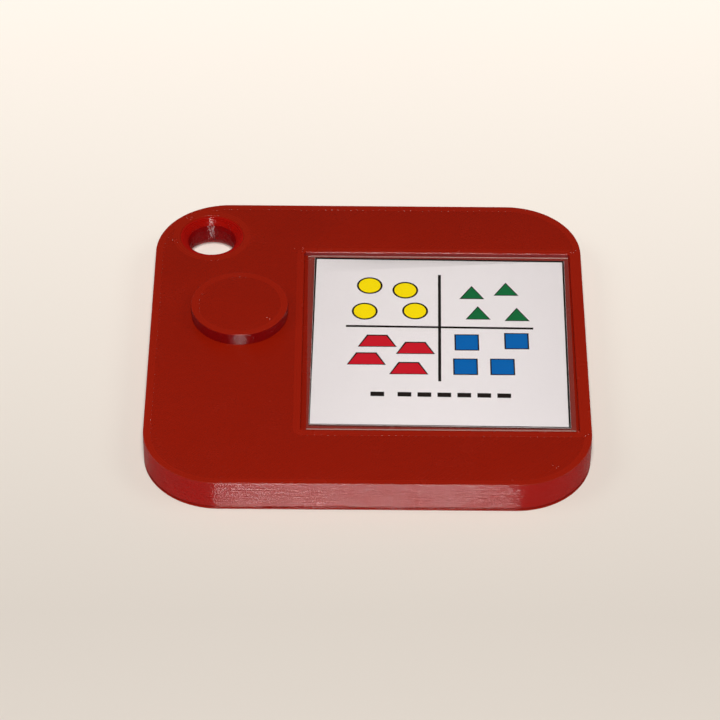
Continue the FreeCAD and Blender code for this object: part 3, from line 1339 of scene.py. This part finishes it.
@dataclass
class SealedCard:
    """The picture card between its two films, with the picture printed on it."""

    turn: float = -0.6          # degrees that the card lies askew
    film_gap: float = 0.004     # air between ink and film
    ink_thickness: float = 0.008
    line: float = 0.4           # width of the dark line round each shape
    crush: float = 0.03         # how far the guillotine rounds the card's edges
    corner: float = 0.12        # and its corners
    chords: int = 3
    longest_chord: float = 5.0
    slope: float = 0.92         # length over which the front film comes down beside the card
    ripple: float = 0.006       # how far the front film's face rises and falls

    def __post_init__(self) -> None:
        """Reads the card's and the films' sizes from the frame."""
        low, high = mm_box("picture_card")
        self.centre = ((low.x + high.x) / 2, (low.y + high.y) / 2)
        c, s = math.cos(math.radians(self.turn)), abs(math.sin(math.radians(self.turn)))
        # The box of a turned rectangle is wider than the rectangle by the turned share of its other side.
        box_w, box_h = high.x - low.x, high.y - low.y
        self.width = (box_w * c - box_h * s) / (c * c - s * s)
        self.height = (box_h * c - box_w * s) / (c * c - s * s)
        self.base = low.z
        self.face = high.z - self.ink_thickness - self.film_gap
        self.film_low, self.film_high = mm_box("laminate_front_film")
        self.back_low, self.back_high = mm_box("laminate_back_film")
        self.foot_half = self.film_half(self.back_low.y)
        self.head_half = self.film_half(self.back_high.y)

    def film_half(self, y: float) -> float:
        """Half the width of the back film at one of its ends."""
        xs = [p.x for p in corners_of("laminate_back_film") if abs(p.y - y) < NEAR]
        return (max(xs) - min(xs)) / 2

    def placed(self, loop: Loop) -> Loop:
        """Points given from the card's middle, where they are on the badge."""
        moved = [(x + self.centre[0], y + self.centre[1]) for x, y in loop]
        return turned(moved, self.turn, self.centre)

    def card(self, stock: bpy.types.Material, cut: bpy.types.Material) -> bpy.types.Object:
        """The card itself, a guillotined sheet with slightly crushed edges.

        Args:
            stock: the material of its faces.
            cut: the material of its cut sides.

        Returns:
            The card, closed.
        """
        levels = []
        for z, inset in (
                (self.base, self.crush), (self.base + self.crush, 0.0),
                (self.face - self.crush, 0.0), (self.face, self.crush)):
            outline = rounded_rectangle(
                (0.0, 0.0), self.width - 2 * inset, self.height - 2 * inset, self.corner, self.chords)
            levels.append((self.placed(divided(outline, self.longest_chord)), z))
        shell = Shell()
        shell.block(levels)
        piece = shell.piece("card_sheet", stock, cut, sharp=60)
        for face in piece.data.polygons:
            face.material_index = int(abs(face.normal.z) < 0.5)
        return piece

    def printed(self, name: str, outlines: list[Loop], ink: bpy.types.Material) -> bpy.types.Object:
        """Flat areas of ink on the card's face.

        Args:
            name: the piece's name.
            outlines: each area's outline, from the card's middle.
            ink: its material.

        Returns:
            The ink, as one closed slab for each area.
        """
        shell = Shell()
        for outline in outlines:
            shell.block([(self.placed(outline), z) for z in (self.face, self.face + self.ink_thickness)])
        return shell.piece(name, ink)

    def marks(self, field: MarkField, line_ink: bpy.types.Material) -> bpy.types.Object:
        """Four printed shapes of one kind.

        Args:
            field: which shape, where and in which ink.
            line_ink: the dark line's material.

        Returns:
            The four shapes as one piece.
        """
        height = self.face + self.ink_thickness / 2
        places = [(x, y, height) for x, y in self.placed(list(field.places))]
        values = {
            "Width": (field.width - self.line) * MM, "Height": (field.height - self.line) * MM,
            "Line": self.line * MM, "Ink": self.ink_thickness * MM,
            "Field ink": field.ink.build(), "Line ink": line_ink,
        }
        piece = new_piece("card_" + field.shape.value + "s", places, [])
        return grown(piece, mark_tree(field.shape), values)

    def border(self) -> list[Loop]:
        """The dark frame round the picture, cut thin at the left's foot, with a thin dark band along the
        foot.
        """
        bare, top, side, thin = 0.04, 0.5, 0.38, 0.14
        x, y = self.width / 2 - bare, self.height / 2 - bare
        return [
            [(-x, y - top), (x, y - top), (x, y), (-x, y)],
            [(-x, -y + thin), (-x + thin, -y + thin), (-x + side, y - top), (-x, y - top)],
            [(x - side, -y + thin), (x, -y + thin), (x, y - top), (x - side, y - top)],
            [(-x, -y), (x, -y), (x, -y + 2 * thin), (-x, -y + thin)],
        ]

    def film_rise(self, x: float, y: float) -> float:
        """How far the front film has climbed over the card at a place, from 0 to 1."""
        (px, py), = turned([(x, y)], -self.turn, self.centre)
        inside = min(self.width / 2 - abs(px - self.centre[0]), self.height / 2 - abs(py - self.centre[1]))
        return min(1.0, max(0.0, (inside + self.slope) / self.slope))

    def film(
            self, name: str, over_card: bool, material: bpy.types.Material,
            cut: bpy.types.Material) -> bpy.types.Object:
        """One film, trimmed by hand a little wider at its head.

        Args:
            name: the piece's name.
            over_card: True for the front film, which climbs over the card.
            material: the film's material.
            cut: the material of its cut edges.

        Returns:
            The film, closed.
        """
        back_low, back_high = self.back_low, self.back_high
        thickness = back_high.z - back_low.z
        middle_x, half_x = (back_low.x + back_high.x) / 2, (back_high.x - back_low.x) / 2
        middle_y, half_y = (back_low.y + back_high.y) / 2, (back_high.y - back_low.y) / 2
        base = self.film_low.z + self.film_gap if over_card else back_low.z
        climb = self.film_high.z - thickness - base if over_card else 0.0
        us, vs = grid_stops(half_x), grid_stops(half_y)
        points = []
        for side in (0, 1):
            for v in vs:
                y = middle_y + v * half_y
                half = self.foot_half + (self.head_half - self.foot_half) * (v + 1) / 2
                for u in us:
                    x = middle_x + u * half
                    ripple = self.ripple * math.sin(x / 4.3 + 0.6) * math.sin(y / 5.2 + 1.1)
                    rise = climb * self.film_rise(x, y)
                    if over_card and side:
                        rise += ripple - self.ripple
                    points.append((x, y, base + rise + (thickness if side else 0.0)))
        sides, edge = sheet_faces(len(us), len(vs))
        piece = new_piece(name, points, sides + edge)
        piece.data.materials.append(material)
        piece.data.materials.append(cut)
        for face in piece.data.polygons[len(sides):]:
            face.material_index = 1
        return tidied(piece)

    def build(self) -> None:
        """Builds the card, its picture and its films, and hangs them on the card's body."""
        stock = CardStock().build()
        dark = PrintInk("black_toner", "#181210", "#201917").build()
        front = LaminateFilm().build()
        back = LaminateFilm("clear_laminate_film_back", haze=0.012).build()
        cut = FilmCutEdge().build()
        # Painted shade and painted red light: the cut sides, in the shade of the sealed pocket and lit by
        # the red plastic, get a dark red-brown.
        side = CardStock("card_cut_side_painted_shade", "#8a5f58", "#7a504a").build()
        settle(self.card(stock, side), CARD_BODY, "card", "picture_card")
        for field in PICTURE:
            settle(self.marks(field, dark), CARD_BODY, field.slot)
        for name, outlines in (
                ("card_cross_lines", CROSS), ("card_caption_bars", caption_bars()),
                ("card_border", self.border())):
            settle(self.printed(name, outlines, dark), CARD_BODY, "ink_black")
        settle(self.film("back_film", False, back, cut), CARD_BODY, "clear_film", "laminate_back_film")
        settle(self.film("front_film", True, front, cut), CARD_BODY, "clear_film", "laminate_front_film")


def grid_stops(half: float) -> list[float]:
    """Where a film's grid lines lie from -1 to 1, closer together near the card's edge.

    Args:
        half: half of the film's size in that direction.

    Returns:
        The stops, from one edge to the other.
    """
    band, fine, coarse = 1.5, 0.1, 2.4
    edge = [half - fine * k for k in range(int(band / fine) + 1)]
    inner = edge[-1]
    count = math.ceil(inner / coarse)
    side = edge + [inner * (1 - (k + 1) / count) for k in range(count)]
    return [-v / half for v in side[:-1]] + [v / half for v in reversed(side)]


# ---------------------------------------------------------------- studio

@dataclass(frozen=True)
class Lamp:
    """A soft studio light that looks at the badge."""

    name: str
    azimuth: float              # degrees from straight in front, towards +X
    elevation: float
    distance: float             # metres
    width: float
    height: float
    power: float                # watts
    colour: str
    shows_in_gloss: bool = False

    def build(self, target: Vector) -> None:
        """Hangs the lamp and turns it to its target."""
        data = bpy.data.lights.new(self.name, "AREA")
        data.shape = "RECTANGLE"
        data.size = self.width
        data.size_y = self.height
        data.energy = self.power
        data.color = linear(self.colour)[:3]
        lamp = bpy.data.objects.new(self.name, data)
        az, el = math.radians(self.azimuth), math.radians(self.elevation)
        away = Vector((math.sin(az) * math.cos(el), -math.cos(az) * math.cos(el), math.sin(el)))
        lamp.location = target + away * self.distance
        lamp.rotation_euler = away.to_track_quat("Z", "Y").to_euler()
        lamp.visible_glossy = self.shows_in_gloss
        bpy.context.scene.collection.objects.link(lamp)


@dataclass(frozen=True)
class Studio:
    """The floor, the lights and the camera."""

    lamps: tuple[Lamp, ...]
    ambient: str = "#fffaf4"
    ambient_strength: float = 0.05
    camera_place: tuple[float, float, float] = (-0.0022, -0.5407, 0.4764)
    pitch: float = 41.31        # degrees below the horizon
    yaw: float = 0.07
    roll: float = 0.49
    lens: float = 180.25        # millimetres
    sensor: float = 36.0
    clip: tuple[float, float] = (0.01, 10.0)
    aim: tuple[float, float, float] = (0.0, 0.0, 0.004)     # what the lamps look at
    floor_side: float = 12.0

    def floor(self) -> None:
        """A sheet of background paper under the badge."""
        side = self.floor_side / MM / 2
        paper = new_piece(
            "studio_floor", [(-side, -side, 0.0), (side, -side, 0.0), (side, side, 0.0), (-side, side, 0.0)],
            [(0, 1, 2, 3)])
        paper.data.materials.append(PaperFloor().build())

    def world(self) -> None:
        """A dim, even room, so that the lamps and the floor are all that the gloss shows."""
        world = bpy.data.worlds.new("dim_room")
        world.use_nodes = True
        sky = world.node_tree.nodes["Background"]
        sky.inputs["Color"].default_value = linear(self.ambient)
        sky.inputs["Strength"].default_value = self.ambient_strength
        bpy.context.scene.world = world

    def camera(self) -> None:
        """A long lens that looks down at the badge from the front."""
        pitch, yaw, roll = (math.radians(v) for v in (self.pitch, self.yaw, self.roll))
        forward = Vector((
            math.sin(yaw) * math.cos(pitch), math.cos(yaw) * math.cos(pitch), -math.sin(pitch)))
        right = Vector((math.cos(yaw), -math.sin(yaw), 0.0))
        up = right.cross(forward)
        side = right * math.cos(roll) + up * math.sin(roll)
        head = up * math.cos(roll) - right * math.sin(roll)
        data = bpy.data.cameras.new("camera")
        data.lens = self.lens
        data.sensor_width = self.sensor
        data.clip_start, data.clip_end = self.clip
        camera = bpy.data.objects.new("camera", data)
        turn = Matrix((side, head, -forward)).transposed().to_4x4()
        camera.matrix_world = Matrix.Translation(self.camera_place) @ turn
        bpy.context.scene.collection.objects.link(camera)
        bpy.context.scene.camera = camera

    def build(self) -> None:
        """Sets up the studio."""
        self.floor()
        self.world()
        self.camera()
        for lamp in self.lamps:
            lamp.build(Vector(self.aim))
        bpy.context.scene.view_settings.view_transform = "Standard"


STUDIO = Studio(lamps=(
    Lamp("front_softbox", 0.0, 57.0, 1.2, 0.23, 0.4, 12.6, "#fffcfa", shows_in_gloss=True),
    Lamp("left_fill", -80.0, 48.0, 1.2, 0.6, 0.5, 1.8, "#fffdfb"),
    Lamp("right_fill", 80.0, 48.0, 1.2, 0.6, 0.5, 1.8, "#fffdfb"),
))


def main() -> None:
    """Builds the badge and its studio, in order."""
    logging.basicConfig(level=logging.INFO, format="%(name)s %(message)s", stream=sys.stdout)
    STUDIO.build()
    shop = PrintShop(PrintSettings())
    BadgePlate(shop).build()
    RaisedButton(shop).build()
    TapeStrips(AdhesiveTape().build()).build()
    SealedCard().build()


if __name__ == "__main__":
    main()
